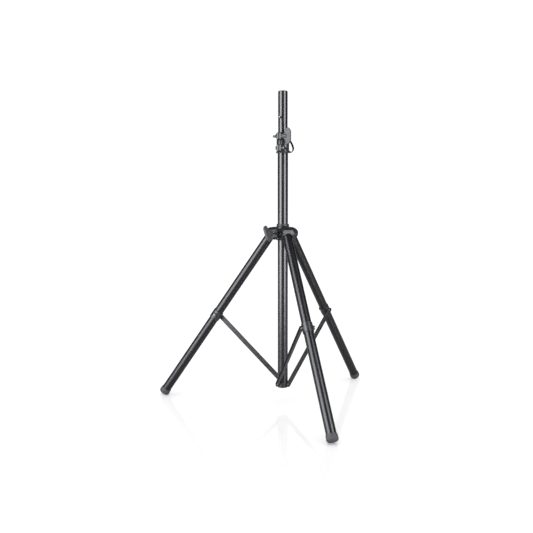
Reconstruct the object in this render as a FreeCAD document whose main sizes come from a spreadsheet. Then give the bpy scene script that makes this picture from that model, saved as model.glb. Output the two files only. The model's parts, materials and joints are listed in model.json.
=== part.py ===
import FreeCAD, Part
import math
import os

import Sketcher
from FreeCAD import Placement, Rotation, Vector

# Speaker tripod stand, in millimetres, +Z up. The origin is on the floor below the pole's axis.
# The legs stand at 180, 300 and 60 degrees about Z. Each leg's own frame has X outward from
# the pole, Y anticlockwise seen from above and Z up, and its brace runs on the -Y side.

driving = {
    # mast tube and telescoping pole; rises are measured from the mast's two ends
    "tubeDiameter": 38.0, "tubeWall": 1.0, "tubeBottom": 60.0, "tubeTop": 965.0,
    "poleDiameter": 35.0, "shankDiameter": 34.6, "poleWall": 1.5, "poleRise": 186.0,
    "shoeRise": 50.0, "spigotLength": 88.0,
    # end plugs, cap and guide shoe
    "plugDepth": 15.0, "plugWall": 2.0, "plugFlange": 3.0, "plugBore": 16.0, "plugBevel": 1.0,
    "capLip": 2.0, "capInset": 0.5, "capBevel": 0.8, "shoeLength": 6.0,
    # lock pin and its row of holes
    "pinDiameter": 7.0, "pinRise": 92.0, "pinFrontReach": 14.5, "pinBackReach": 9.5,
    "pinHeadDiameter": 9.0, "pinHeadLength": 7.0, "holePitch": 100.0, "holeCount": 7,
    "ringDiameter": 21.0, "ringWire": 2.0, "pinAzimuth": 78.0, "eyeInset": 4.0,
    "eyeGap": 1.3, "eyeShift": 0.5,
    # collar round the top of the mast tube
    "collarGrip": 35.0, "collarRise": 36.5, "collarWall": 3.95, "lipHeight": 5.0,
    "lipOverhang": 2.0, "bushLip": 2.0, "earAzimuth": 259.0, "earOffset": 8.0, "earNose": 8.0,
    "earSpan": 17.0, "earSlot": 3.0, "earHeight": 27.0, "upperBoltRise": 23.0,
    "lowerBoltDrop": 19.0, "boltDiameter": 8.0, "hexAcross": 13.0, "headHeight": 5.5,
    "nutHeight": 6.5, "boltTail": 3.0, "studTail": 10.0,
    # wing knobs
    "knobBarrel": 17.0, "knobLength": 34.0, "knobBore": 16.0, "barrelRise": 8.0,
    "wingSpan": 60.0, "wingThickness": 9.0, "wingStart": 10.0, "wingRoot": 2.0,
    "wingDrop": 6.0, "wingTip": 4.5,
    # sliding hub, measured from the height of the leg pivots
    "pivotHeight": 635.6, "pivotGap": 5.75, "hubDrop": 25.6, "hubRise": 27.4, "hubWall": 2.85,
    "hubBushWall": 1.5, "flangeHeight": 8.0, "flangeOverhang": 2.4, "cheekWall": 3.5,
    "hoodGap": 1.75, "archRise": 3.5, "wayLength": 60.0, "shoulderHeight": 26.0,
    "shoulderFlare": 11.0, "shoulderInset": 0.5, "armRoot": 2.0, "armTopDrop": 1.0,
    "armDrop": 23.0, "armHeel": 4.0, "armToe": 13.0, "armToeDrop": 17.0, "rimBevel": 1.5,
    "rimLow": 6.0, "rimMiddle": 4.0, "rimHigh": 14.0, "rimShoulder": 4.0, "crownReach": 8.0,
    # the hub's clamp block and knob
    "hubKnobAzimuth": 240.0, "hubKnobRise": 1.4, "blockDepth": 20.5, "blockWidth": 20.0,
    "blockHeight": 30.0, "knobStandoff": 18.0, "knobTurn": 23.0, "clampEarWall": 5.0,
    "clampEarHeight": 24.0, "clampEarInset": 6.0, "clampEarLift": 1.0, "clampHole": 5.2,
    "clampHoleInset": 13.0, "clampHoleLift": 7.0,
    # legs, feet and saddles
    "legDiameter": 34.5, "legWall": 1.2, "legTilt": 34.76, "legAbovePivot": 6.0,
    "topPlugLength": 28.0, "footWall": 2.4, "footLength": 24.0, "footFloor": 5.0,
    "footRound": 8.0, "footDraft": 0.8, "footFlat": 0.8, "saddleDistance": 378.7,
    "saddleLength": 34.0, "saddleWall": 2.2, "saddleRise": 0.5, "saddleBoss": 18.0,
    # braces and their bracket
    "braceWidth": 17.0, "braceDepth": 7.0, "braceWall": 1.8, "braceFootRadius": 4.0,
    "braceFootRise": 9.0, "braceGap": 0.6, "bracketLand": 0.95, "bracketRim": 2.0,
    "bracketHeight": 20.0, "rivetHead": 12.0, "rivetHeadHeight": 3.5,
    # strap
    "strapDiameter": 7.0, "crimpLength": 12.0, "crimpWall": 1.0, "crimpOverlap": 2.0,
    "anchorLength": 4.5, "anchorDepth": 3.2,
    # clearances: a tight fit, a running fit, and the gap beside a moving piece
    "fit": 0.05, "runningFit": 0.1, "sideGap": 0.5,
}

# sizes and places that follow from the driving ones
fittedSizes = {
    "tubeRadius": "Sizes.tubeDiameter / 2",
    "tubeBore": "Fitted.tubeRadius - Sizes.tubeWall",
    "tubeSeat": "Fitted.tubeRadius + Sizes.fit",
    "poleRadius": "Sizes.poleDiameter / 2",
    "poleBore": "Fitted.poleRadius - Sizes.poleWall",
    "shankRadius": "Sizes.shankDiameter / 2",
    "legRadius": "Sizes.legDiameter / 2",
    "legBore": "Fitted.legRadius - Sizes.legWall",
    "legSeat": "Fitted.legRadius + Sizes.fit",
    "boltRadius": "Sizes.boltDiameter / 2",
    "boltSeat": "Fitted.boltRadius + Sizes.fit",
    "boltSwing": "Fitted.boltRadius + Sizes.runningFit",
    "poleTop": "Sizes.tubeTop + Sizes.poleRise",
    "poleBottom": "Sizes.tubeBottom + Sizes.shoeRise",
    "pinHeight": "Sizes.tubeTop + Sizes.pinRise",
    "pinFront": "Fitted.poleRadius + Sizes.pinFrontReach",
    "pinBack": "Fitted.poleRadius + Sizes.pinBackReach",
    "ringReach": "(Sizes.ringDiameter - Sizes.ringWire) / 2",
    "ringCentre": "Fitted.pinBack - Sizes.eyeInset + Fitted.ringReach",
    "collarBottom": "Sizes.tubeTop - Sizes.collarGrip",
    "collarTop": "Sizes.tubeTop + Sizes.collarRise",
    "collarTall": "Sizes.collarGrip + Sizes.collarRise",
    "collarRadius": "Fitted.tubeSeat + Sizes.collarWall",
    "lipRadius": "Fitted.collarRadius + Sizes.lipOverhang",
    "earAxis": "Fitted.collarRadius + Sizes.earOffset",
    "earEnd": "Fitted.earAxis + Sizes.earNose",
    "earHalf": "Sizes.earSpan / 2",
    "upperBolt": "Sizes.tubeTop + Sizes.upperBoltRise",
    "lowerBolt": "Sizes.tubeTop - Sizes.lowerBoltDrop",
    "hubTall": "Sizes.hubDrop + Sizes.hubRise",
    "hubBottom": "Sizes.pivotHeight - Sizes.hubDrop",
    "hubTop": "Sizes.pivotHeight + Sizes.hubRise",
    "hubBushBore": "Fitted.tubeRadius + Sizes.runningFit",
    "hubBushRadius": "Fitted.hubBushBore + Sizes.hubBushWall",
    "hubBore": "Fitted.hubBushRadius + Sizes.fit",
    "hubRadius": "Fitted.hubBore + Sizes.hubWall",
    "flangeRadius": "Fitted.hubBushRadius + Sizes.flangeOverhang",
    "pivotRadius": "Fitted.tubeRadius + Fitted.legRadius + Sizes.pivotGap",
    "wayRadius": "Fitted.legRadius + Sizes.sideGap",
    "cheekFace": "Fitted.wayRadius + Sizes.cheekWall",
    "hoodRadius": "Fitted.legRadius + Sizes.hoodGap",
    "rimRadius": "Fitted.hoodRadius + Sizes.cheekWall",
    "hubKnobHeight": "Sizes.pivotHeight + Sizes.hubKnobRise",
    "blockReach": "Fitted.hubRadius + Sizes.blockDepth",
    "hubKnobStart": "Fitted.blockReach + Sizes.knobStandoff",
    "studTouch": "Fitted.hubBushRadius + Sizes.sideGap",
    "footRadius": "Fitted.legSeat + Sizes.footWall",
    "footEdge": "Fitted.footRadius - Sizes.footRound",
    "footEndHeight": "Sizes.footRound * (1 - cos(Sizes.legTilt))"
                     " + Fitted.footEdge * sin(Sizes.legTilt) - Sizes.footFlat",
    "legLength": "(Sizes.pivotHeight - Fitted.footEndHeight) / cos(Sizes.legTilt)",
    "legTubeLength": "Fitted.legLength - Sizes.footFloor",
    "saddleRadius": "Fitted.legSeat + Sizes.saddleWall",
    "saddleFace": "max(Fitted.saddleRadius + Sizes.saddleRise;"
                  " Fitted.tubeSeat + Sizes.bracketLand)",
    "braceFace": "Fitted.saddleFace + Sizes.braceGap",
    "bracketRadius": "Fitted.saddleFace + Sizes.bracketRim",
    "braceFootHeight": "Sizes.tubeBottom + Sizes.braceFootRise",
    "braceRun": "Fitted.pivotRadius + Sizes.saddleDistance * sin(Sizes.legTilt)"
                " - Sizes.braceFootRadius",
    "braceRise": "Sizes.pivotHeight - Sizes.saddleDistance * cos(Sizes.legTilt)"
                 " - Fitted.braceFootHeight",
    "braceLength": "sqrt(Fitted.braceRun ^ 2 + Fitted.braceRise ^ 2)",
    "strapRadius": "Sizes.strapDiameter / 2",
}

doc = FreeCAD.newDocument("SpeakerTripodStand")
sheet = doc.addObject("Spreadsheet::Sheet", "Sizes")
for row, (alias, number) in enumerate(driving.items(), start=1):
    sheet.set("A%d" % row, alias)
    sheet.set("B%d" % row, str(number))
    sheet.setAlias("B%d" % row, alias)
doc.recompute()

fitted = doc.addObject("App::VarSet", "Fitted")
for alias, text in fittedSizes.items():
    fitted.addProperty("App::PropertyFloat", alias, "Fitted")
    fitted.setExpression(alias, text)
fitted.addProperty("App::PropertyFloat", "reading", "Fitted")
doc.recompute()

axisX, axisY, axisZ = Vector(1, 0, 0), Vector(0, 1, 0), Vector(0, 0, 1)
legAzimuths = {"a": 180.0, "b": 300.0, "c": 60.0}
subParts = []

# the strap's route, from the lower collar bolt down, round the right side and up to the ring
strapRoute = [
    (15.2, -34.5, 946.0), (23.0, -34.0, 937.5), (31.5, -26.5, 929.0), (38.0, -12.0, 932.0),
    (39.0, 3.0, 945.0), (32.0, 17.0, 961.0), (21.0, 29.0, 978.0), (13.0, 34.0, 997.0),
    (7.4, 34.0, 1017.0), (6.9, 32.3, 1037.2)]


def size(alias):
    return float(sheet.get(alias)) if alias in driving else getattr(fitted, alias)


def reading(expression):
    """The number that an expression gives, for a sketch's first drawing."""
    fitted.setExpression("reading", expression)
    fitted.recompute()
    return fitted.reading


def bind(item, expressions):
    for name, text in expressions.items():
        item.setExpression(name, text)


def finish(item, label, placement=None):
    item.Label = label
    if placement is not None:
        item.Placement = placement
    subParts.append(item)
    return item


def about(azimuth):
    return Placement(Vector(), Rotation(axisZ, azimuth))


def placed(item, start, direction, frame):
    item.Placement = frame.multiply(Placement(start, Rotation(axisZ, direction)))
    return item


def cylinder(name, radius, height, start=Vector(), direction=axisZ, frame=Placement()):
    item = doc.addObject("Part::Cylinder", name)
    bind(item, {"Radius": radius, "Height": height})
    return placed(item, start, direction, frame)


def hexagon(name, height, start, direction):
    item = doc.addObject("Part::Prism", name)
    item.Polygon = 6
    bind(item, {"Circumradius": "Sizes.hexAcross / sqrt(3)", "Height": height})
    return placed(item, start, direction, Placement())


def box(name, length, width, height, corner, frame=Placement()):
    item = doc.addObject("Part::Box", name)
    bind(item, {"Length": length, "Width": width, "Height": height})
    return placed(item, corner, axisZ, frame)


def fuse(name, pieces):
    item = doc.addObject("Part::MultiFuse", name)
    item.Shapes = pieces
    item.Refine = True
    return item


def cut(name, base, tools):
    item = doc.addObject("Part::Cut", name)
    item.Base = base
    item.Tool = tools[0] if len(tools) == 1 else fuse(name + "Tools", tools)
    return item


def common(name, first, second):
    item = doc.addObject("Part::Common", name)
    item.Base, item.Tool = first, second
    return item


def newBody(name):
    return doc.addObject("PartDesign::Body", name)


def bodySketch(body, name, role):
    plane = [f for f in body.Origin.OriginFeatures if f.Role == role][0]
    sketch = body.newObject("Sketcher::SketchObject", name)
    sketch.AttachmentSupport = (plane, [""])
    sketch.MapMode = "FlatFace"
    return sketch


def fixPoint(sketch, index, end, x, y):
    """Ties one point of a sketch to the expressions of its two coordinates."""
    for kind, text in (("DistanceX", x), ("DistanceY", y)):
        row = sketch.addConstraint(
            Sketcher.Constraint(kind, -1, 1, index, end, reading(text)))
        sketch.setExpression("Constraints[%d]" % row, text)


def drawCircle(sketch, radius, height=None):
    """A circle centred on the sketch's vertical axis, at the height given."""
    lift = 0 if height is None else reading(height)
    index = sketch.addGeometry(Part.Circle(Vector(0, lift, 0), axisZ, reading(radius)), False)
    if height is None:
        sketch.addConstraint(Sketcher.Constraint("Coincident", index, 3, -1, 1))
    else:
        sketch.addConstraint(Sketcher.Constraint("PointOnObject", index, 3, -2))
        row = sketch.addConstraint(Sketcher.Constraint("DistanceY", -1, 1, index, 3, lift))
        sketch.setExpression("Constraints[%d]" % row, height)
    row = sketch.addConstraint(Sketcher.Constraint("Radius", index, reading(radius)))
    sketch.setExpression("Constraints[%d]" % row, radius)


def drawOutline(sketch, corners):
    """A closed outline of straight lines. Each corner is a pair of expressions."""
    points = [Vector(reading(x), reading(y), 0) for x, y in corners]
    count = len(points)
    for index in range(count):
        sketch.addGeometry(Part.LineSegment(points[index], points[(index + 1) % count]), False)
    for index, (x, y) in enumerate(corners):
        sketch.addConstraint(Sketcher.Constraint("Coincident", (index - 1) % count, 2, index, 1))
        fixPoint(sketch, index, 1, x, y)


def padRing(body, name, outer, inner, length):
    sketch = bodySketch(body, name + "Section", "XY_Plane")
    drawCircle(sketch, outer)
    if inner is not None:
        drawCircle(sketch, inner)
    pad = body.newObject("PartDesign::Pad", name + "Pad")
    pad.Profile = sketch
    pad.setExpression("Length", length)


def padPlate(body, name, corners, thickness):
    """An outline in the XZ plane, padded evenly to both sides."""
    sketch = bodySketch(body, name + "Outline", "XZ_Plane")
    drawOutline(sketch, corners)
    pad = body.newObject("PartDesign::Pad", name + "Pad")
    pad.Profile = sketch
    pad.SideType = "Symmetric"
    pad.setExpression("Length", thickness)


def spinSketch(body, name, sketch):
    turned = body.newObject("PartDesign::Revolution", name + "Spin")
    turned.Profile = sketch
    turned.ReferenceAxis = (sketch, ["V_Axis"])
    turned.Angle = 360


def spin(body, name, corners):
    """An outline in the XZ plane, turned a full circle about Z."""
    sketch = bodySketch(body, name + "Profile", "XZ_Plane")
    drawOutline(sketch, corners)
    spinSketch(body, name, sketch)


def crossHole(body, name, role, radius, heights):
    """Round holes through a tube, one at each height, square to the plane named."""
    doc.recompute()
    sketch = bodySketch(body, name + "Circles", role)
    for height in heights:
        drawCircle(sketch, radius, height)
    holes = body.newObject("PartDesign::Pocket", name)
    holes.Profile = sketch
    holes.Type = "ThroughAll"
    holes.SideType = "Symmetric"


def hubFrame(azimuth):
    pivot = Placement(Vector(size("pivotRadius"), 0, size("pivotHeight")), Rotation())
    return about(azimuth).multiply(pivot)


def legFrame(azimuth):
    return hubFrame(azimuth).multiply(Placement(Vector(), Rotation(axisY, -size("legTilt"))))


def bracketFrame(azimuth):
    foot = Placement(Vector(size("braceFootRadius"), 0, size("braceFootHeight")), Rotation())
    return about(azimuth).multiply(foot)


def braceFrame(azimuth):
    lean = math.degrees(math.atan2(size("braceRun"), size("braceRise")))
    return bracketFrame(azimuth).multiply(Placement(Vector(), Rotation(axisY, lean)))


def earFrame(height):
    """X runs out of the collar through its ears, Y along the clamp bolts."""
    return about(size("earAzimuth")).multiply(Placement(Vector(0, 0, size(height)), Rotation()))


def makeMast():
    body = newBody("MastTube")
    padRing(body, "MastTube", "Fitted.tubeRadius", "Fitted.tubeBore",
            "Sizes.tubeTop - Sizes.tubeBottom")
    low = Placement(Vector(0, 0, size("tubeBottom")), Rotation())
    finish(body, "mast_tube", low)

    plug = newBody("MastPlug")
    outer, inner = "Fitted.tubeRadius", "Fitted.tubeBore - Sizes.fit"
    bore = "Sizes.plugBore / 2"
    spin(plug, "MastPlug", [
        (bore, "-Sizes.plugFlange"), (outer + " - Sizes.plugBevel", "-Sizes.plugFlange"),
        (outer, "-Sizes.plugFlange + Sizes.plugBevel"), (outer, "0"), (inner, "0"),
        (inner, "Sizes.plugDepth"), (inner + " - Sizes.plugWall", "Sizes.plugDepth"),
        (inner + " - Sizes.plugWall", "0"), (bore, "0")])
    finish(plug, "mast_plug", low)


def makePole():
    body = newBody("PoleTube")
    step = "Fitted.poleTop - Sizes.spigotLength"
    spin(body, "PoleTube", [
        ("Fitted.poleBore", "Fitted.poleBottom"), ("Fitted.shankRadius", "Fitted.poleBottom"),
        ("Fitted.shankRadius", step), ("Fitted.poleRadius", step),
        ("Fitted.poleRadius", "Fitted.poleTop"), ("Fitted.poleBore", "Fitted.poleTop")])
    crossHole(body, "PinHoles", "YZ_Plane", "Sizes.pinDiameter / 2 + Sizes.sideGap",
              ["Fitted.pinHeight - %d * Sizes.holePitch" % place
               for place in range(int(size("holeCount")))])
    finish(body, "pole_tube", about(size("pinAzimuth")))

    cap = newBody("PoleCap")
    inner = "Fitted.poleBore - Sizes.fit"
    lip = "Fitted.poleRadius - Sizes.capInset"
    spin(cap, "PoleCap", [
        ("0", "0"), (inner + " - Sizes.plugWall", "0"),
        (inner + " - Sizes.plugWall", "-Sizes.plugDepth"), (inner, "-Sizes.plugDepth"),
        (inner, "0"), (lip, "0"), (lip, "Sizes.capLip - Sizes.capBevel"),
        (lip + " - Sizes.capBevel", "Sizes.capLip"), ("0", "Sizes.capLip")])
    finish(cap, "pole_cap", Placement(Vector(0, 0, size("poleTop")), Rotation()))

    shoe = newBody("PoleShoe")
    wide = "Fitted.tubeBore - Sizes.runningFit"
    spin(shoe, "PoleShoe", [
        (inner + " - Sizes.plugWall", "Sizes.plugDepth"),
        (inner + " - Sizes.plugWall", "-Sizes.shoeLength"),
        (wide + " - Sizes.plugBevel", "-Sizes.shoeLength"),
        (wide, "Sizes.plugBevel - Sizes.shoeLength"), (wide, "0"), (inner, "0"),
        (inner, "Sizes.plugDepth")])
    finish(shoe, "pole_shoe", Placement(Vector(0, 0, size("poleBottom")), Rotation()))


def makeLockPin():
    frame = about(size("pinAzimuth")).multiply(
        Placement(Vector(0, 0, size("pinHeight")), Rotation()))
    shaft = cylinder("PinShaft", "Sizes.pinDiameter / 2", "Fitted.pinFront + Fitted.pinBack",
                     -axisX * size("pinFront"), axisX)
    head = cylinder("PinHead", "Sizes.pinHeadDiameter / 2", "Sizes.pinHeadLength",
                    axisX * (size("pinBack") - size("pinHeadLength")), axisX)
    eyeAt = size("pinBack") - size("eyeInset") + size("eyeShift")
    eye = cylinder("PinEye", "Sizes.ringWire / 2 + Sizes.eyeGap", "2 * Sizes.pinHeadDiameter",
                   Vector(eyeAt, 0, -size("pinHeadDiameter")))
    finish(cut("LockPin", fuse("PinSolid", [shaft, head]), [eye]), "lock_pin", frame)

    ring = doc.addObject("Part::Torus", "PinRing")
    bind(ring, {"Radius1": "Fitted.ringReach", "Radius2": "Sizes.ringWire / 2"})
    upright = Placement(axisX * size("ringCentre"), Rotation(axisX, 90))
    finish(ring, "pin_ring", frame.multiply(upright))


def makeCollar():
    base = Vector(0, 0, size("collarBottom"))
    topLip = Vector(0, 0, size("collarTop") - size("lipHeight"))
    pieces = [
        cylinder("CollarSleeve", "Fitted.collarRadius", "Fitted.collarTall", base),
        cylinder("CollarLowLip", "Fitted.lipRadius", "Sizes.lipHeight", base),
        cylinder("CollarTopLip", "Fitted.lipRadius", "Sizes.lipHeight", topLip),
    ]
    tools = [
        cylinder("CollarBore", "Fitted.tubeSeat", "Fitted.collarTall", base),
        box("CollarSlot", "Fitted.earEnd", "Sizes.earSlot", "Fitted.collarTall",
            base - axisY * (size("earSlot") / 2), about(size("earAzimuth"))),
    ]
    half, tall = size("earHalf"), size("earHeight")
    for name, height in (("Upper", "upperBolt"), ("Lower", "lowerBolt")):
        frame = earFrame(height)
        corner = Vector(0, -half, -tall / 2)
        pieces.append(box(name + "Ears", "Fitted.earAxis", "Sizes.earSpan", "Sizes.earHeight",
                          corner, frame))
        nose = cylinder(name + "EarNose", "Sizes.earHeight / 2", "Sizes.earSpan",
                        Vector(size("earAxis"), -half, 0), axisY, frame)
        trim = box(name + "EarTrim", "Fitted.earEnd", "Sizes.earSpan", "Sizes.earHeight",
                   corner, frame)
        pieces.append(common(name + "EarShape", nose, trim))
        tools.append(cylinder(name + "BoltHole", "Fitted.boltSwing", "2 * Sizes.earSpan",
                              Vector(size("earAxis"), -size("earSpan"), 0), axisY, frame))
    finish(cut("Collar", fuse("CollarSolid", pieces), tools), "collar_clamp")

    bush = newBody("CollarBush")
    bore = "Fitted.shankRadius + Sizes.runningFit"
    outer, lip = "Fitted.tubeRadius", "Fitted.tubeRadius + Sizes.bushLip"
    rim = "Sizes.collarRise"
    spin(bush, "CollarBush", [
        (bore, "0"), (outer, "0"), (outer, rim), (lip, rim), (lip, rim + " + Sizes.bushLip"),
        (bore, rim + " + Sizes.bushLip")])
    finish(bush, "collar_bushing", Placement(Vector(0, 0, size("tubeTop")), Rotation()))

    axis = axisX * size("earAxis")
    frame = earFrame("lowerBolt")
    shaft = cylinder("LowerShaft", "Fitted.boltRadius",
                     "Sizes.earSpan + Sizes.nutHeight + Sizes.boltTail", axis - axisY * half, axisY)
    head = hexagon("LowerHead", "Sizes.headHeight", axis - axisY * (half + size("headHeight")), axisY)
    finish(fuse("LowerBolt", [head, shaft]), "collar_lower_bolt", frame)
    makeNut("LowerNut", "collar_lower_nut", "Fitted.boltSeat", axis + axisY * half, frame)
    makeNut("UpperNut", "collar_upper_nut", "Fitted.boltSwing",
            axis - axisY * (half + size("nutHeight")), earFrame("upperBolt"))


def makeNut(name, label, bore, start, frame):
    """A hexagonal nut along Y, bored right through."""
    body = hexagon(name + "Hexagon", "Sizes.nutHeight", start, axisY)
    thread = cylinder(name + "Thread", bore, "2 * Sizes.nutHeight",
                      start - axisY * (size("nutHeight") / 2), axisY)
    finish(cut(name, body, [thread]), label, frame)


def makeKnob(name, label, placement):
    """A wing knob with its barrel along Z and its wing in the XZ plane."""
    body = newBody(name)
    barrel, span = "Sizes.knobBarrel / 2", "Sizes.wingSpan / 2"
    padRing(body, name + "Barrel", barrel, None, "Sizes.wingStart + Sizes.barrelRise")
    right = [
        (barrel + " - Sizes.wingRoot", "Sizes.wingStart - Sizes.wingDrop"),
        (barrel + " + Sizes.wingRoot", "Sizes.wingStart"),
        (span + " - 2 * Sizes.wingTip", "Sizes.wingStart + Sizes.wingDrop"),
        (span + " - Sizes.wingTip / 2", "Sizes.wingStart + 2 * Sizes.wingTip"),
        (span, "Sizes.wingStart + 3 * Sizes.wingTip"),
        (span + " - Sizes.wingTip", "Sizes.knobLength - Sizes.wingTip"),
        (span + " - 3 * Sizes.wingTip", "Sizes.knobLength")]
    left = [("-(%s)" % x, z) for x, z in reversed(right)]
    padPlate(body, name + "Wing", right + left, "Sizes.wingThickness")
    doc.recompute()
    sketch = bodySketch(body, name + "BoreCircle", "XY_Plane")
    drawCircle(sketch, "Fitted.boltSeat")
    bore = body.newObject("PartDesign::Pocket", name + "Bore")
    bore.Profile = sketch
    bore.Reversed = True
    bore.setExpression("Length", "Sizes.knobBore")
    finish(body, label, placement)


def makeKnobs():
    start = Vector(size("earAxis"), size("earHalf") + size("sideGap"), 0)
    frame = earFrame("upperBolt")
    alongBolt = Rotation(axisZ, axisY).multiply(Rotation(axisZ, 90))
    makeKnob("CollarKnob", "collar_knob", frame.multiply(Placement(start, alongBolt)))
    stud = cylinder("CollarStud", "Fitted.boltRadius",
                    "Sizes.knobBore + Sizes.sideGap + Sizes.earSpan + Sizes.nutHeight"
                    " + Sizes.studTail", start + axisY * size("knobBore"), -axisY, frame)
    finish(stud, "collar_knob_bolt")

    frame = about(size("hubKnobAzimuth")).multiply(
        Placement(Vector(0, 0, size("hubKnobHeight")), Rotation()))
    turned = Rotation(axisX, size("knobTurn")).multiply(Rotation(axisZ, axisX))
    makeKnob("HubKnob", "hub_knob",
             frame.multiply(Placement(axisX * size("hubKnobStart"), turned)))
    stud = cylinder("HubStud", "Fitted.boltRadius",
                    "Fitted.hubKnobStart + Sizes.knobBore - Fitted.studTouch",
                    axisX * size("studTouch"), axisX, frame)
    finish(stud, "hub_knob_stud")


def hubArm(name, azimuth):
    """One arm of the hub: a side outline kept where it meets an arch seen from the front."""
    side = newBody("HubArm" + name)
    back = "Fitted.hubRadius - Sizes.armRoot - Fitted.pivotRadius"
    rim = "Fitted.rimRadius"
    padPlate(side, "HubArm" + name, [
        (back, "-Sizes.armDrop"), ("-Sizes.armHeel", "-" + rim),
        ("Sizes.armToe", "-Sizes.armToeDrop"), (rim + " - Sizes.rimBevel", "-Sizes.rimLow"),
        (rim, "Sizes.rimMiddle"), (rim + " - Sizes.rimShoulder", "Sizes.rimHigh"),
        ("Sizes.crownReach", rim), (back, "Sizes.hubRise - Sizes.armTopDrop")],
        "2 * Fitted.cheekFace")
    start = Vector(-size("pivotRadius"), 0, size("archRise"))
    reach = "Fitted.pivotRadius + Fitted.rimRadius"
    arch = cylinder("ArmArch" + name, "Fitted.cheekFace", reach, start, axisX)
    lower = box("ArmSides" + name, reach, "2 * Fitted.cheekFace", "Sizes.archRise + Fitted.rimRadius",
                Vector(start.x, -size("cheekFace"), -size("rimRadius")))
    arm = common("ArmShape" + name, side, fuse("ArmFront" + name, [arch, lower]))
    arm.Placement = hubFrame(azimuth)
    return arm


def hubHollows(name, azimuth):
    """What the leg's top sweeps as it folds, and the hole for its pivot bolt."""
    frame = hubFrame(azimuth)
    hood = doc.addObject("Part::Sphere", "Hood" + name)
    bind(hood, {"Radius": "Fitted.hoodRadius"})
    hood.Placement = frame
    between = newBody("WayBetween" + name)
    padPlate(between, "WayBetween" + name, [
        ("0", "0"), ("0", "-Sizes.wayLength"),
        ("Sizes.wayLength * sin(Sizes.legTilt)", "-Sizes.wayLength * cos(Sizes.legTilt)")],
        "2 * Fitted.wayRadius")
    between.Placement = frame
    return [
        hood, between,
        cylinder("OpenWay" + name, "Fitted.wayRadius", "Sizes.wayLength", Vector(), -axisZ,
                 legFrame(azimuth)),
        cylinder("FoldedWay" + name, "Fitted.wayRadius", "Sizes.wayLength", Vector(), -axisZ, frame),
        cylinder("PivotHole" + name, "Fitted.boltSeat", "4 * Fitted.cheekFace",
                 -axisY * (2 * size("cheekFace")), axisY, frame),
    ]


def makeHub():
    base = Vector(0, 0, size("hubBottom"))
    shoulder = doc.addObject("Part::Cone", "HubShoulder")
    bind(shoulder, {"Radius1": "Fitted.hubRadius + Sizes.shoulderFlare",
                    "Radius2": "Fitted.hubRadius - Sizes.shoulderInset",
                    "Height": "Sizes.shoulderHeight"})
    shoulder.Placement = Placement(Vector(0, 0, size("hubTop") - size("shoulderHeight")), Rotation())
    pieces = [cylinder("HubSleeve", "Fitted.hubRadius", "Fitted.hubTall", base), shoulder]
    tools = [cylinder("HubBore", "Fitted.hubBore", "Fitted.hubTall", base)]
    for letter, azimuth in legAzimuths.items():
        pieces.append(hubArm(letter.upper(), azimuth))
        tools += hubHollows(letter.upper(), azimuth)

    knobSide = about(size("hubKnobAzimuth"))
    half = size("blockWidth") / 2
    pieces.append(box("KnobBlock", "Fitted.blockReach", "Sizes.blockWidth", "Sizes.blockHeight",
                      Vector(0, -half, size("hubKnobHeight") - size("blockHeight") / 2), knobSide))
    pieces.append(box("ClampEar", "Fitted.blockReach - Sizes.clampEarInset", "Sizes.clampEarWall",
                      "Sizes.clampEarHeight", Vector(0, half - size("clampEarWall"),
                                                     size("hubBottom") + size("clampEarLift")),
                      knobSide))
    tools.append(cylinder("KnobHole", "Fitted.boltSwing", "2 * Fitted.blockReach",
                          Vector(0, 0, size("hubKnobHeight")), axisX, knobSide))
    tools.append(cylinder("EarHole", "Sizes.clampHole / 2", "2 * Sizes.blockWidth",
                          Vector(size("blockReach") - size("clampHoleInset"), -size("blockWidth"),
                                 size("hubBottom") + size("clampHoleLift")), axisY, knobSide))
    finish(cut("Hub", fuse("HubSolid", pieces), tools), "hub_casting")

    bush = newBody("HubBush")
    bore, outer, rim = "Fitted.hubBushBore", "Fitted.hubBushRadius", "Fitted.flangeRadius"
    top = "Fitted.hubTall + Sizes.flangeHeight"
    spin(bush, "HubBush", [
        (bore, "0"), (outer, "0"), (outer, "Fitted.hubTall"), (rim, "Fitted.hubTall"),
        (rim, top + " - Sizes.plugBevel"), (rim + " - Sizes.plugBevel", top), (bore, top)])
    finish(bush, "hub_bushing", Placement(base, Rotation()))


def makePivot(letter, azimuth):
    frame = hubFrame(azimuth)
    face = axisY * size("cheekFace")
    shaft = cylinder("PivotShaft", "Fitted.boltRadius",
                     "2 * Fitted.cheekFace + Sizes.nutHeight + Sizes.boltTail", -face, axisY)
    head = hexagon("PivotHead", "Sizes.headHeight", -face - axisY * size("headHeight"), axisY)
    finish(fuse("PivotBolt", [head, shaft]), "leg_pivot_bolt_" + letter, frame)
    makeNut("PivotNut", "leg_pivot_nut_" + letter, "Fitted.boltSeat", face, frame)


def makeLeg(letter, azimuth):
    frame = legFrame(azimuth)
    tube = newBody("LegTube")
    padRing(tube, "LegTube", "Fitted.legRadius", "Fitted.legBore",
            "Fitted.legTubeLength + Sizes.legAbovePivot")
    crossHole(tube, "PivotHole", "XZ_Plane", "Fitted.boltSwing", ["Fitted.legTubeLength"])
    crossHole(tube, "SaddleHole", "XZ_Plane", "Fitted.boltSeat",
              ["Fitted.legTubeLength - Sizes.saddleDistance"])
    low = Placement(-axisZ * size("legTubeLength"), Rotation())
    finish(tube, "leg_tube_" + letter, frame.multiply(low))

    fill = cylinder("TopFill", "Fitted.legBore - Sizes.fit", "Sizes.topPlugLength",
                    axisZ * (size("legAbovePivot") - size("topPlugLength")))
    hole = cylinder("TopHole", "Fitted.boltSwing", "Sizes.legDiameter",
                    -axisY * size("legRadius"), axisY)
    finish(cut("TopPlug", fill, [hole]), "leg_top_plug_" + letter, frame)


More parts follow.
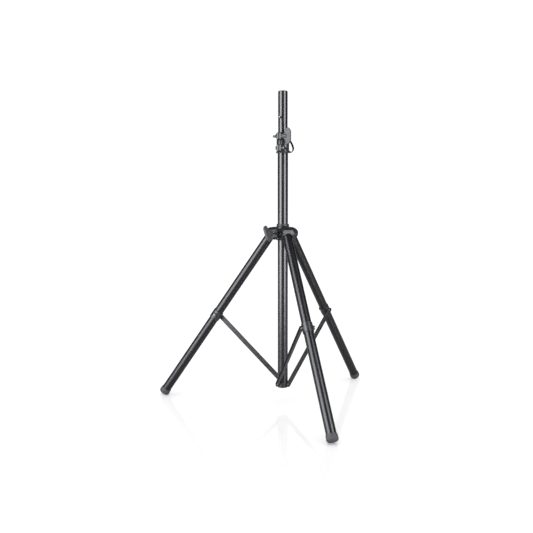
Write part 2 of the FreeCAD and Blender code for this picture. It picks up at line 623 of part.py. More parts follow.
def footProfile(foot):
    """Half the foot cap's section, with a quarter round at its lower edge."""
    profile = bodySketch(foot, "FootProfile", "XZ_Plane")
    rim, seat = "Fitted.footRadius", "Fitted.legSeat"
    corners = [(rim, "Sizes.footRound"), (rim + " - Sizes.footDraft", "Sizes.footLength"),
               (seat, "Sizes.footLength"), (seat, "Sizes.footFloor"), ("0", "Sizes.footFloor"),
               ("0", "0"), ("Fitted.footEdge", "0")]
    points = [Vector(reading(x), reading(z), 0) for x, z in corners]
    for first, second in zip(points, points[1:]):
        profile.addGeometry(Part.LineSegment(first, second), False)
    bend = Part.Circle(Vector(points[-1].x, points[0].y, 0), axisZ, size("footRound"))
    profile.addGeometry(Part.ArcOfCircle(bend, -math.pi / 2, 0), False)
    arc = len(corners) - 1
    for index in range(arc - 1):
        profile.addConstraint(Sketcher.Constraint("Coincident", index, 2, index + 1, 1))
    profile.addConstraint(Sketcher.Constraint("Tangent", arc - 1, 2, arc, 1))
    profile.addConstraint(Sketcher.Constraint("Coincident", arc, 2, 0, 1))
    for index, (x, z) in enumerate(corners[:arc]):
        fixPoint(profile, index, 1, x, z)
    fixPoint(profile, arc, 3, "Fitted.footEdge", "Sizes.footRound")
    return profile


def makeFoot(letter, azimuth):
    foot = newBody("FootCap")
    spinSketch(foot, "Foot", footProfile(foot))
    low = Placement(-axisZ * size("legLength"), Rotation())
    foot.Placement = legFrame(azimuth).multiply(low)
    ground = box("Ground", "Fitted.legLength + Fitted.pivotRadius", "4 * Fitted.footRadius",
                 "Sizes.footLength", Vector(0, -2 * size("footRadius"), -size("footLength")),
                 about(azimuth))
    finish(cut("FootCapCut", foot, [ground]), "foot_cap_" + letter)


def makeSaddle(letter, azimuth):
    frame = legFrame(azimuth)
    middle = -axisZ * size("saddleDistance")
    low = middle - axisZ * (size("saddleLength") / 2)
    side = middle - axisY * size("saddleFace")
    sleeve = cylinder("SaddleSleeve", "Fitted.saddleRadius", "Sizes.saddleLength", low)
    boss = cylinder("SaddleBoss", "Sizes.saddleBoss / 2", "2 * Fitted.saddleFace", side, axisY)
    bore = cylinder("SaddleBore", "Fitted.legSeat", "Sizes.saddleLength", low)
    across = cylinder("SaddleHole", "Fitted.boltSeat", "2 * Fitted.saddleFace", side, axisY)
    finish(cut("Saddle", fuse("SaddleSolid", [sleeve, boss]), [bore, across]),
           "brace_saddle_" + letter, frame)
    shaft = cylinder("SaddleShaft", "Fitted.boltRadius", "2 * Fitted.saddleFace", side, axisY)
    head = hexagon("SaddleHead", "Sizes.headHeight", middle + axisY * size("saddleFace"), axisY)
    finish(fuse("SaddleBolt", [shaft, head]), "saddle_bolt_" + letter, frame)


def roundBar(name, width, start):
    """A bar as long as the brace with round ends. start is on its back, on the lower rivet's axis."""
    radius = "(%s) / 2" % width
    head = start + axisZ * size("braceLength")
    return [
        box(name + "Bar", width, "Sizes.braceDepth", "Fitted.braceLength",
            start - axisX * reading(radius)),
        cylinder(name + "Low", radius, "Sizes.braceDepth", start, axisY),
        cylinder(name + "High", radius, "Sizes.braceDepth", head, axisY)]


def makeRivet(name, label, grip, frame):
    """A round head in the brace's channel and a shaft into the piece beside it."""
    start = -axisY * (size("braceFace") + size("braceWall") + size("fit"))
    shaft = cylinder(name + "Shaft", "Fitted.boltRadius", grip, start, axisY)
    head = cylinder(name + "Head", "Sizes.rivetHead / 2", "Sizes.rivetHeadHeight", start, -axisY)
    finish(fuse(name, [shaft, head]), label, frame)


def makeBrace(letter, azimuth):
    frame = braceFrame(azimuth)
    top = axisZ * size("braceLength")
    back = -axisY * (size("braceFace") + size("braceDepth"))
    outer = roundBar("Outer", "Sizes.braceWidth", back)
    hollows = roundBar("Inner", "Sizes.braceWidth - 2 * Sizes.braceWall",
                       back - axisY * size("braceWall"))
    for centre in (Vector(), top):
        hollows.append(cylinder("RivetHole", "Fitted.boltSeat", "2 * Sizes.braceDepth",
                                back + centre, axisY))
    finish(cut("Brace", fuse("BraceSolid", outer), hollows), "brace_" + letter, frame)

    makeRivet("FootRivet", "brace_foot_rivet_" + letter,
              "Fitted.braceFace + Sizes.braceWall + Sizes.fit - Sizes.sideGap"
              " - sqrt(Fitted.tubeSeat ^ 2 - Sizes.braceFootRadius ^ 2)", bracketFrame(azimuth))
    makeRivet("TopRivet", "brace_top_rivet_" + letter,
              "Sizes.braceWall + Sizes.braceGap / 2 + Sizes.fit",
              frame.multiply(Placement(top, Rotation())))


def makeBracket():
    """A ring round the mast's foot with a flat for each brace."""
    base = Vector(0, 0, size("braceFootHeight") - size("bracketHeight") / 2)
    ring = cylinder("BracketRing", "Fitted.bracketRadius", "Sizes.bracketHeight", base)
    tools = [cylinder("BracketBore", "Fitted.tubeSeat", "Sizes.bracketHeight", base)]
    wide = 2 * size("bracketRadius")
    face = size("saddleFace") + size("braceGap") / 2
    for letter, azimuth in legAzimuths.items():
        corner = base + Vector(-size("bracketRadius"), -face - wide, 0)
        tools.append(box("BracketFlat" + letter.upper(), "2 * Fitted.bracketRadius",
                         "2 * Fitted.bracketRadius", "Sizes.bracketHeight", corner, about(azimuth)))
        tools.append(cylinder("BracketHole" + letter.upper(), "Fitted.boltSeat",
                              "Fitted.bracketRadius", -axisY * wide / 2 - axisY, axisY,
                              bracketFrame(azimuth)))
    finish(cut("Bracket", ring, tools), "brace_bracket")


def roundedPath(route):
    """Straight runs joined by tangent arcs, and the arcs' radii."""
    edges, last, radii = [], route[0], []
    for before, corner, after in zip(route, route[1:], route[2:]):
        arriving, leaving = corner - before, after - corner
        turn = arriving.getAngle(leaving)
        trim = 0.45 * min(arriving.Length, leaving.Length)
        radius = trim / math.tan(turn / 2)
        radii.append(round(radius, 1))
        enter = corner - arriving.normalize() * trim
        leave = corner + leaving.normalize() * trim
        towards = (corner - (enter + leave) / 2).normalize()
        crown = corner - towards * (radius / math.cos(turn / 2) - radius)
        edges.append(Part.LineSegment(last, enter).toShape())
        edges.append(Part.Arc(enter, crown, leave).toShape())
        last = leave
    edges.append(Part.LineSegment(last, route[-1]).toShape())
    return Part.Wire(edges), radii


def makeStrap():
    """The webbing that ties the lock pin to the collar, from the lower bolt round the back."""
    start = Vector(size("earAxis"), size("earHalf") + size("nutHeight") + size("fit"), 0)
    washer = cylinder("AnchorWasher", "Sizes.hexAcross / 2", "Sizes.anchorLength", start, axisY)
    hole = cylinder("AnchorHole", "Fitted.boltSeat", "Sizes.anchorDepth", start, axisY)
    finish(cut("Anchor", washer, [hole]), "strap_anchor", earFrame("lowerBolt"))

    route = [Vector(*point) for point in strapRoute]
    path, radii = roundedPath(route)
    radius = size("strapRadius")
    circle = Part.Wire([Part.Circle(route[0], route[1] - route[0], radius).toShape()])
    strap = doc.addObject("Part::Feature", "Strap")
    strap.Shape = path.makePipeShell([circle], True, False)
    finish(strap, "safety_strap")
    print("strap length %.1f, bend radii %s, volume ratio %.4f" % (
        path.Length, radii, strap.Shape.Volume / (math.pi * radius ** 2 * path.Length)))

    centre = Vector(size("ringCentre"), 0, size("pinHeight"))
    foot = centre - axisZ * (size("ringReach") - size("crimpOverlap") + size("crimpLength"))
    sleeve = cylinder("CrimpSleeve", "Fitted.strapRadius + Sizes.crimpWall",
                      "Sizes.crimpLength", foot)
    groove = doc.addObject("Part::Torus", "CrimpGroove")
    bind(groove, {"Radius1": "Fitted.ringReach", "Radius2": "Sizes.ringWire / 2 + Sizes.fit"})
    groove.Placement = Placement(centre, Rotation(axisX, 90))
    finish(cut("Crimp", sleeve, [groove]), "strap_crimp", about(size("pinAzimuth")))


makeMast()
makePole()
makeLockPin()
makeCollar()
makeKnobs()
makeHub()
makeBracket()
makeStrap()
for legLetter, legAzimuth in legAzimuths.items():
    makePivot(legLetter, legAzimuth)
    makeLeg(legLetter, legAzimuth)
    makeFoot(legLetter, legAzimuth)
    makeSaddle(legLetter, legAzimuth)
    makeBrace(legLetter, legAzimuth)
doc.recompute()

for item in doc.Objects:
    if "Invalid" in item.State or "Error" in item.State:
        raise RuntimeError("%s did not build: %s" % (item.Label, item.State))
for item in subParts:
    if item.Shape.isNull() or not item.Shape.isValid() or not item.Shape.Solids:
        raise RuntimeError("%s has no valid solid" % item.Label)

os.makedirs("parts", exist_ok=True)
for item in subParts:
    item.Shape.exportStep("parts/%s.step" % item.Label)
    print("%-22s %8.1f mm3" % (item.Label, item.Shape.Volume))
print("nodes", len(subParts), "brace length %.2f, leg length %.2f"
      % (size("braceLength"), size("legLength")))
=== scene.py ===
import bpy
import bmesh
import json
import math
from mathutils import Matrix, Vector


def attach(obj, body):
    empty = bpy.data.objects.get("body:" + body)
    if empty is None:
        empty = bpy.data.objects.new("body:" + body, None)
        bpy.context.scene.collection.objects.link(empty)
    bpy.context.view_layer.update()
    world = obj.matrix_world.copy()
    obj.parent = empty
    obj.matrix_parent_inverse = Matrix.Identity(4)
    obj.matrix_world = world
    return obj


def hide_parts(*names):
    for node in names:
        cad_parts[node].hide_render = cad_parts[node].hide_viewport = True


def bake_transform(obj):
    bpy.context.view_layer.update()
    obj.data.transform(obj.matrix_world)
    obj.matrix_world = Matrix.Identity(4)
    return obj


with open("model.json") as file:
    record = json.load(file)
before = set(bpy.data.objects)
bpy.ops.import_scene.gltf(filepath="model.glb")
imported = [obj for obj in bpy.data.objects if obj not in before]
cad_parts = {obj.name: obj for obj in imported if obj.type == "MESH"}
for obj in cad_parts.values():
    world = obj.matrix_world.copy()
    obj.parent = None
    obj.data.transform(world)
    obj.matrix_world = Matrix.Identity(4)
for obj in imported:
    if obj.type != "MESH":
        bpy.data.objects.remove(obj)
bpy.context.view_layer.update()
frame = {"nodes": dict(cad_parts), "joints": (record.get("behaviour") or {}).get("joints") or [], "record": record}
nodes = frame["nodes"]
joints = {joint["name"]: joint for joint in frame["joints"]}
letters = "abc"
scene = bpy.context.scene
print("frame loaded:", len(nodes), "nodes")


# camera and room

cameraSettings = {
    "azimuth": 11.1, "distance": 2.401, "height": 0.7065,
    "turn": -1.447, "dip": 4.614, "roll": 0.088, "lens": 43.73, "sensor": 36,
}


def makeCamera(s):
    data = bpy.data.cameras.new("camera")
    data.lens = s["lens"]
    data.sensor_width = s["sensor"]
    data.clip_start, data.clip_end = 0.05, 60
    camera = bpy.data.objects.new("camera", data)
    scene.collection.objects.link(camera)
    around = Matrix.Rotation(math.radians(s["azimuth"]), 4, "Z")
    aim = Matrix.Rotation(math.radians(-s["turn"]), 4, "Z")
    tip = Matrix.Rotation(math.radians(90 - s["dip"]), 4, "X")
    spin = Matrix.Rotation(math.radians(-s["roll"]), 4, "Z")
    place = Matrix.Translation((0, -s["distance"], s["height"]))
    camera.matrix_world = around @ place @ aim @ tip @ spin
    scene.camera = camera


roomSettings = {
    "floorSize": 60, "ambient": 1.04, "glossy": 0.05, "floorGlow": 0.21, "floorShine": 0.16,
    "boxTint": (0.93, 0.95, 1.0), "shineRoughness": 0.07,
    "cardSize": (32, 18), "cardDistance": 29, "cardHeight": 8.9,
    "boxes": [
        {"name": "leftBox", "azimuth": -53, "distance": 2.3, "size": (1.75, 3.4),
         "height": 1.1, "power": 400},
        {"name": "rightBox", "azimuth": 48, "distance": 2.3, "size": (1.25, 3.4),
         "height": 1.1, "power": 290},
    ],
}


def makeWorld(s):
    world = bpy.data.worlds.new("studio")
    scene.world = world
    world.use_nodes = True
    tree = world.node_tree
    tree.nodes.clear()
    out = tree.nodes.new("ShaderNodeOutputWorld")
    path = tree.nodes.new("ShaderNodeLightPath")
    pale = tree.nodes.new("ShaderNodeBackground")
    dim = tree.nodes.new("ShaderNodeBackground")
    mix = tree.nodes.new("ShaderNodeMixShader")
    pale.inputs["Color"].default_value = (1, 1, 1, 1)
    pale.inputs["Strength"].default_value = s["ambient"]
    dim.inputs["Color"].default_value = (1, 1, 1, 1)
    dim.inputs["Strength"].default_value = s["glossy"]
    tree.links.new(path.outputs["Is Glossy Ray"], mix.inputs[0])
    tree.links.new(pale.outputs[0], mix.inputs[1])
    tree.links.new(dim.outputs[0], mix.inputs[2])
    tree.links.new(mix.outputs[0], out.inputs["Surface"])


def facing(azimuth, distance, height):
    # a place round the stand, its azimuth counted from the camera, turned to face the pole
    angle = math.radians(cameraSettings["azimuth"] + azimuth)
    place = Vector((math.sin(angle), -math.cos(angle), 0)) * distance
    turn = (-place).to_track_quat("-Z", "Y").to_matrix().to_4x4()
    return Matrix.Translation(place + Vector((0, 0, height))) @ turn


def makeSoftBox(s, tint):
    light = bpy.data.lights.new(s["name"], "AREA")
    light.color = tint
    light.shape = "RECTANGLE"
    light.size, light.size_y = s["size"]
    light.energy = s["power"]
    obj = bpy.data.objects.new(s["name"], light)
    scene.collection.objects.link(obj)
    obj.matrix_world = facing(s["azimuth"], s["distance"], s["height"])
    obj.visible_camera = False
    obj.visible_diffuse = False


def stagePlane(name, size, place, constants):
    mesh = bpy.data.meshes.new(name)
    bm = bmesh.new()
    bmesh.ops.create_grid(bm, x_segments=1, y_segments=1, size=0.5)
    bm.transform(place @ Matrix.Diagonal((size[0], size[1], 1, 1)))
    bm.to_mesh(mesh)
    bm.free()
    plane = bpy.data.objects.new(name, mesh)
    scene.collection.objects.link(plane)
    material = bpy.data.materials.new(name)
    material.use_nodes = True
    shader = material.node_tree.nodes["Principled BSDF"]
    for socket, value in constants.items():
        shader.inputs[socket].default_value = value
    mesh.materials.append(material)
    # its glow is met by bounced rays only, and isn't sampled as a lamp
    material.cycles.emission_sampling = "NONE"
    return plane, material


def makeFloor(s):
    size = (s["floorSize"], s["floorSize"])
    floor, material = stagePlane("floor", size, Matrix.Identity(4), {
        "Base Color": (0.95, 0.95, 0.95, 1), "Roughness": 0.7, "Specular IOR Level": 0.0,
        "Emission Color": (1, 1, 1, 1), "Emission Strength": s["floorGlow"]})
    tree = material.node_tree
    shine = tree.nodes.new("ShaderNodeBsdfGlossy")
    shine.inputs["Roughness"].default_value = s["shineRoughness"]
    mix = tree.nodes.new("ShaderNodeMixShader")
    mix.inputs[0].default_value = s["floorShine"]
    tree.links.new(tree.nodes["Principled BSDF"].outputs[0], mix.inputs[1])
    tree.links.new(shine.outputs[0], mix.inputs[2])
    tree.links.new(mix.outputs[0], tree.nodes["Material Output"].inputs["Surface"])
    # a white card behind the stand, seen only in shiny surfaces
    place = facing(180, s["cardDistance"], s["cardHeight"])
    card, _ = stagePlane("card", s["cardSize"], place, {
        "Base Color": (0, 0, 0, 1), "Emission Color": (1, 1, 1, 1), "Emission Strength": 1.0})
    card.visible_camera = False
    card.visible_diffuse = False
    card.visible_shadow = False


scene.view_settings.view_transform = "Standard"
scene.view_settings.look = "None"
makeCamera(cameraSettings)
makeWorld(roomSettings)
for softBox in roomSettings["boxes"]:
    makeSoftBox(softBox, roomSettings["boxTint"])
makeFloor(roomSettings)
print("camera and room made")


# shader helper: a socket, or a whole tree to start from

class Wire:
    def __init__(self, tree, socket=None):
        self.tree, self.socket = tree, socket

    def make(self, kind, settings=None, inputs=None, output=0):
        node = self.tree.nodes.new(kind)
        for name, value in (settings or {}).items():
            if name == "stops":
                for index, (place, shade) in enumerate(value):
                    stops = node.color_ramp.elements
                    stop = stops[index] if index < len(stops) else stops.new(place)
                    stop.position = place
                    stop.color = (shade, shade, shade, 1)
            else:
                setattr(node, name, value)
        for name, value in (inputs or {}).items():
            if isinstance(value, Wire):
                self.tree.links.new(value.socket, node.inputs[name])
            else:
                node.inputs[name].default_value = value
        return Wire(self.tree, node.outputs[output])

    def maths(self, operation, first, second):
        return self.make("ShaderNodeMath", {"operation": operation}, {0: first, 1: second})

    def sine(self):
        return self.maths("SINE", self, 0.0)

    def __add__(self, other):
        return self.maths("ADD", self, other)

    def __radd__(self, other):
        return self.maths("ADD", other, self)

    def __mul__(self, other):
        return self.maths("MULTIPLY", self, other)

    def __rmul__(self, other):
        return self.maths("MULTIPLY", other, self)


def newMaterial(name, constants):
    material = bpy.data.materials.new(name)
    material.use_nodes = True
    shader = material.node_tree.nodes["Principled BSDF"]
    for socket, value in constants.items():
        shader.inputs[socket].default_value = value
    return material, shader, Wire(material.node_tree)


def feed(shader, socket, wire):
    wire.tree.links.new(wire.socket, shader.inputs[socket])


def objectPlace(start):
    return start.make("ShaderNodeTexCoord", output=3)


def noise(start, place, scale, detail=3.0, roughness=0.5):
    return start.make("ShaderNodeTexNoise", {"noise_dimensions": "3D"},
                      {"Vector": place, "Scale": scale, "Detail": detail, "Roughness": roughness})


def ramp(wire, low, high):
    # 0 below low, 1 above high
    return wire.make("ShaderNodeValToRGB", {"stops": [(low, 0.0), (high, 1.0)]}, {0: wire})


def blendColours(factor, dark, light):
    ends = [value if isinstance(value, Wire) else (*value, 1) for value in (dark, light)]
    return factor.make("ShaderNodeMix", {"data_type": "RGBA"},
                       {0: factor, 6: ends[0], 7: ends[1]}, output=2)


def bump(height, distance):
    return height.make("ShaderNodeBump", None,
                       {"Height": height, "Strength": 1.0, "Distance": distance})


def stretched(start, turn, squeeze):
    # object coordinates turned into line with a tube, then drawn out along it
    across = start.make("ShaderNodeMapping", {"vector_type": "TEXTURE"},
                        {"Vector": objectPlace(start), "Rotation": turn})
    return start.make("ShaderNodeMapping", {"vector_type": "POINT"},
                      {"Vector": across, "Scale": (1, 1, squeeze)})


glossSettings = {
    "dark": (0.005, 0.005, 0.0065), "light": (0.010, 0.010, 0.0125),
    "worn": (0.022, 0.022, 0.025), "roughness": (0.22, 0.29), "specular": 0.3,
    "cloudScale": 14, "peelScale": 420, "peelDepth": 0.000006,
    "rubScale": 700, "rubStretch": 0.012, "rubRange": (0.62, 0.72),
    "rubPatches": (0.42, 0.62), "rubRoughness": 0.12,
}
legGloss = dict(glossSettings, roughness=(0.27, 0.36), specular=0.2)


def glossPaint(name, s, turn=(0, 0, 0)):
    # gloss powder coat: slight orange peel, soft clouding and fine lengthwise rubs
    material, shader, start = newMaterial(name, {"Specular IOR Level": s["specular"]})
    place = objectPlace(start)
    cloud = noise(start, place, s["cloudScale"], 4)
    peel = noise(start, place, s["peelScale"], 2)
    rub = noise(start, stretched(start, turn, s["rubStretch"]), s["rubScale"], 2)
    rubs = ramp(rub, *s["rubRange"]) * ramp(cloud, *s["rubPatches"])
    low, high = s["roughness"]
    paint = blendColours(cloud, s["dark"], s["light"])
    feed(shader, "Base Color", blendColours(rubs, paint, s["worn"]))
    feed(shader, "Roughness", low + cloud * (high - low) + rubs * s["rubRoughness"])
    feed(shader, "Normal", bump(peel, s["peelDepth"]))
    return material


castSettings = {
    "dark": (0.010, 0.010, 0.0115), "light": (0.028, 0.028, 0.031), "roughness": (0.30, 0.46),
    "cloudScale": 60, "grainScale": 1500, "grainDepth": 0.00005, "specular": 0.25,
    "speckScale": 0.6, "speckRange": (0.35, 0.7), "cloudShare": 0.6, "speckShare": 0.4,
}
braceSettings = dict(castSettings, dark=(0.016, 0.016, 0.018), light=(0.036, 0.036, 0.039),
                     roughness=(0.26, 0.38), grainScale=900, grainDepth=0.00002)
steelSettings = dict(castSettings, dark=(0.012, 0.012, 0.014), light=(0.03, 0.03, 0.033),
                     roughness=(0.28, 0.42), grainDepth=0.00002)
nylonSettings = dict(castSettings, dark=(0.010, 0.010, 0.011), light=(0.020, 0.020, 0.022),
                     roughness=(0.42, 0.55), grainScale=2200, grainDepth=0.00002)
knobSettings = dict(castSettings, dark=(0.020, 0.020, 0.022), light=(0.048, 0.048, 0.052),
                    roughness=(0.45, 0.62), cloudScale=90, grainScale=1100, grainDepth=0.00014,
                    specular=0.3)
rubberSettings = dict(castSettings, dark=(0.030, 0.030, 0.033), light=(0.062, 0.062, 0.067),
                      roughness=(0.5, 0.72), grainScale=1600, grainDepth=0.00007, specular=0.25)


def grained(name, s):
    # a satin or matte skin with a fine grain and a soft mottle
    material, shader, start = newMaterial(name, {"Specular IOR Level": s["specular"]})
    place = objectPlace(start)
    cloud = noise(start, place, s["cloudScale"], 5)
    grain = noise(start, place, s["grainScale"], 3, 0.7)
    speck = ramp(noise(start, place, s["grainScale"] * s["speckScale"], 2), *s["speckRange"])
    low, high = s["roughness"]
    mottle = cloud * s["cloudShare"] + speck * s["speckShare"]
    feed(shader, "Base Color", blendColours(mottle, s["dark"], s["light"]))
    feed(shader, "Roughness", low + cloud * (high - low))
    feed(shader, "Normal", bump(grain, s["grainDepth"]))
    return material


zincSettings = {
    "dark": (0.026, 0.026, 0.028), "light": (0.07, 0.07, 0.075), "roughness": (0.27, 0.45),
    "streakScale": 900, "streakStretch": 0.15, "streakDepth": 0.00001, "stainScale": 160,
    "stainShare": 0.7, "streakShare": 0.3,
}
chromeSettings = dict(zincSettings, dark=(0.62, 0.62, 0.64), light=(0.82, 0.82, 0.84),
                      roughness=(0.08, 0.2))


def plated(name, s):
    # bare plated metal with drawn streaks
    material, shader, start = newMaterial(name, {"Metallic": 1.0})
    place = objectPlace(start)
    drawn = stretched(start, (0, 0, 0), s["streakStretch"])
    streak = noise(start, drawn, s["streakScale"], 3)
    stain = noise(start, place, s["stainScale"], 4)
    low, high = s["roughness"]
    tarnish = stain * s["stainShare"] + streak * s["streakShare"]
    feed(shader, "Base Color", blendColours(tarnish, s["dark"], s["light"]))
    feed(shader, "Roughness", low + streak * (high - low))
    feed(shader, "Normal", bump(streak, s["streakDepth"]))
    return material


webbingSettings = {
    "dark": (0.003, 0.003, 0.0035), "light": (0.018, 0.018, 0.021), "roughness": 0.85,
    "specular": 0.12, "rowsAcross": 7, "rowsAlong": 130, "depth": 0.00022,
    "fuzzScale": 2500, "weaveShadeShare": 0.7, "fuzzShare": 0.3, "fuzzHeight": 0.25,
}


def webbing(name, s):
    # plain weave read from the strap's own length and width; its colour is painted darker in the weave's dips as
    # shade, with a random fuzz tone on top
    material, shader, start = newMaterial(name, {
        "Roughness": s["roughness"], "Specular IOR Level": s["specular"]})
    flat = start.make("ShaderNodeUVMap", {"uv_map": "weave"})
    length, width = [start.make("ShaderNodeSeparateXYZ", None, {0: flat}, output=index)
                     for index in (0, 1)]
    along = (length * (s["rowsAlong"] * math.pi)).sine()
    across = (width * (s["rowsAcross"] * math.pi)).sine()
    thread = along * across * 0.5 + 0.5
    fuzz = noise(start, objectPlace(start), s["fuzzScale"], 2)
    # painted shade: the colour darkens where the weave's height dips, mixed with a random fuzz tone
    shade = thread * s["weaveShadeShare"] + fuzz * s["fuzzShare"]
    feed(shader, "Base Color", blendColours(shade, s["dark"], s["light"]))
    feed(shader, "Normal", bump(thread + fuzz * s["fuzzHeight"], s["depth"]))
    return material


def legTurn(letter):
    # the turn that brings a leg's length onto Z
    x, y, _ = joints["leg_fold_" + letter]["pos_m"]
    return (Matrix.Rotation(math.atan2(y, x), 4, "Z")
            @ Matrix.Rotation(math.radians(-legSettings["tilt"]), 4, "Y"))


legSettings = {
    "tilt": 34.76, "radius": 0.01725, "bore": 0.01605, "topRise": 0.006, "length": 0.75978,
    "rounding": 0.0004,
}

materials = {
    "mast_paint": glossPaint("mastPaint", glossSettings),
    "pole_paint": glossPaint("polePaint", glossSettings),
    "brace_paint": grained("bracePaint", braceSettings),
    "casting_paint": grained("castingPaint", castSettings),
    "bracket_steel": grained("bracketSteel", steelSettings),
    "saddle_steel": grained("saddleSteel", steelSettings),
    "bushing_nylon": grained("bushingNylon", nylonSettings),
    "knob_plastic": grained("knobPlastic", knobSettings),
    "foot_rubber": grained("footRubber", rubberSettings),
    "bolt_steel": plated("boltSteel", zincSettings),
    "ring_chrome": plated("ringChrome", chromeSettings),
    "strap_webbing": webbing("strapWebbing", webbingSettings),
}
legPaints = {letter: glossPaint("legPaint" + letter.upper(), legGloss,
                                legTurn(letter).to_euler()) for letter in letters}
materials["leg_paint"] = legPaints["a"]
for row in frame["record"]["subparts"]:
    node = nodes[row["node"]]
    node.data.materials.clear()
    node.data.materials.append(materials[row["material_slot"]])
print("materials made")


# places and mesh helpers

def jointPlace(name):
    # at a joint, with X pointing away from the pole
    x, y, z = joints[name]["pos_m"]
    return Matrix.Translation((x, y, z)) @ Matrix.Rotation(math.atan2(y, x), 4, "Z")


def legPlace(letter):
    lean = Matrix.Rotation(math.radians(-legSettings["tilt"]), 4, "Y")
    return jointPlace("leg_fold_" + letter) @ lean


def bracePlace(letter):
    lean = Matrix.Rotation(math.radians(braceShape["lean"]), 4, "Y")
    return jointPlace("brace_fold_" + letter) @ lean


def roundPole(azimuth, height, reach=0.0):
    around = Matrix.Rotation(math.radians(azimuth), 4, "Z")
    return around @ Matrix.Translation((reach, 0, height))


alongY = Matrix.Rotation(math.radians(-90), 4, "X")   # turns Z onto Y
backY = Matrix.Rotation(math.radians(90), 4, "X")     # turns Z onto -Y
alongX = Matrix.Rotation(math.radians(90), 4, "Y")    # turns Z onto X


def lift(distance):
    return Matrix.Translation((0, 0, distance))


def tidyMesh(bm):
    bmesh.ops.remove_doubles(bm, verts=bm.verts, dist=1e-6)
    bmesh.ops.recalc_face_normals(bm, faces=bm.faces)
    return bm


def turned(profile, steps=64):
    # a closed outline of (radius, height, rounding) corners, spun about Z
    bm = bmesh.new()
    corners = [bm.verts.new((radius, 0, height)) for radius, height, _ in profile]
    for first, second in zip(corners, corners[1:] + corners[:1]):
        bm.edges.new((first, second))
    for corner, (_, _, rounding) in zip(corners, profile):
        if rounding:
            bmesh.ops.bevel(bm, geom=[corner], offset=rounding, offset_type="OFFSET",
                            segments=4 if rounding < 0.003 else 8, profile=0.5,
                            affect="VERTICES", material=-1)
    bmesh.ops.spin(bm, geom=bm.verts[:] + bm.edges[:], cent=(0, 0, 0), axis=(0, 0, 1),
                   dvec=(0, 0, 0), angle=math.tau, steps=steps, use_merge=True)
    return tidyMesh(bm)


def rungs(low, high, gap=0.025):
    # evenly spaced heights between a tube's ends, which keep its long faces short
    count = math.ceil((high - low) / gap)
    return [low + (high - low) * step / count for step in range(1, count)]


def tube(outer, inner, low, high, rounding, steps=96):
    rings = rungs(low, high)
    side = [(outer, height, 0) for height in rings]
    wall = [(inner, height, 0) for height in reversed(rings)]
    return turned([(outer, low, rounding), *side, (outer, high, rounding),
                   (inner, high, rounding), *wall, (inner, low, rounding)], steps)


def disc(radius, low, high, rounding, steps=48):
    return turned([(0, low, 0), (radius, low, rounding), (radius, high, rounding), (0, high, 0)],
                  steps)


def hexagon(s, height):
    # a hexagon along Z with its corners cut back at both ends
    bm = bmesh.new()
    radius = s["across"] / math.sqrt(3)
    bmesh.ops.create_circle(bm, cap_ends=True, segments=6, radius=radius,
                            matrix=Matrix.Rotation(math.radians(90), 4, "Z"))
    made = bmesh.ops.extrude_face_region(bm, geom=bm.faces[:])
    bmesh.ops.translate(bm, vec=(0, 0, height),
                        verts=[v for v in made["geom"] if isinstance(v, bmesh.types.BMVert)])
    tip = math.radians(s["chamferAngle"])
    for corner in range(6):
        angle = math.radians(60 * corner)
        for face, way in ((0, -1), (height, 1)):
            normal = Vector((math.cos(angle) * math.sin(tip), math.sin(angle) * math.sin(tip),
                             math.cos(tip) * way))
            point = (Vector((math.cos(angle), math.sin(angle), 0))
                     * (s["across"] / 2 - s["chamferInset"]))
            cut = bmesh.ops.bisect_plane(bm, geom=bm.verts[:] + bm.edges[:] + bm.faces[:],
                                         dist=1e-7, plane_co=point + Vector((0, 0, face)),
                                         plane_no=normal, clear_outer=True)
            rim = [e for e in cut["geom_cut"] if isinstance(e, bmesh.types.BMEdge)]
            bmesh.ops.holes_fill(bm, edges=rim)
    tidyMesh(bm)
    bmesh.ops.bevel(bm, geom=bm.edges[:], offset=s["rounding"], offset_type="OFFSET", segments=2,
                    profile=0.5, affect="EDGES", material=-1)
    return tidyMesh(bm)


def threaded(s, radius, low, high):
    # a real helix, closed at both ends
    bm = bmesh.new()
    turns = math.ceil((high - low) / s["pitch"]) + 2
    start = low - s["pitch"] * 1.25
    root = radius - s["depth"]
    groove = [(radius, 0), (radius, s["crest"]), (root, s["rootStart"]), (root, s["rootEnd"]),
              (radius, 1)]
    corners = [bm.verts.new((across, 0, start + up * s["pitch"])) for across, up in groove]
    for first, second in zip(corners, corners[1:]):
        bm.edges.new((first, second))
    bmesh.ops.spin(bm, geom=bm.verts[:] + bm.edges[:], cent=(0, 0, 0), axis=(0, 0, 1),
                   dvec=(0, 0, s["pitch"] / s["steps"]), angle=math.tau * turns,
                   steps=s["steps"] * turns, use_merge=False)
    bmesh.ops.remove_doubles(bm, verts=bm.verts, dist=1e-5)
    for height, way in ((low, -1), (high, 1)):
        cut = bmesh.ops.bisect_plane(bm, geom=bm.verts[:] + bm.edges[:] + bm.faces[:], dist=1e-7,
                                     plane_co=(0, 0, height), plane_no=(0, 0, way),
                                     clear_outer=True)
        rim = [e for e in cut["geom_cut"] if isinstance(e, bmesh.types.BMEdge)]
        bmesh.ops.holes_fill(bm, edges=rim)
    return tidyMesh(bm)


def joined(*parts):
    # several bmeshes laid in one
    bm = bmesh.new()
    for part in parts:
        mesh = bpy.data.meshes.new("part")
        part.to_mesh(mesh)
        part.free()
        bm.from_mesh(mesh)
        bpy.data.meshes.remove(mesh)
    return bm


def moved(bm, place):
    bm.transform(place)
    return bm


def piece(name, bm, slot, body, replaced=(), sharp=32, material=None):
    mesh = bpy.data.meshes.new(name)
    bm.to_mesh(mesh)
    bm.free()
    mesh.shade_smooth()
    mesh.set_sharp_from_angle(angle=math.radians(sharp))
    mesh.materials.append(material or materials[slot])
    obj = bpy.data.objects.new(name, mesh)
    scene.collection.objects.link(obj)
    if body:
        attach(obj, body)
    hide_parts(*replaced)
    return obj


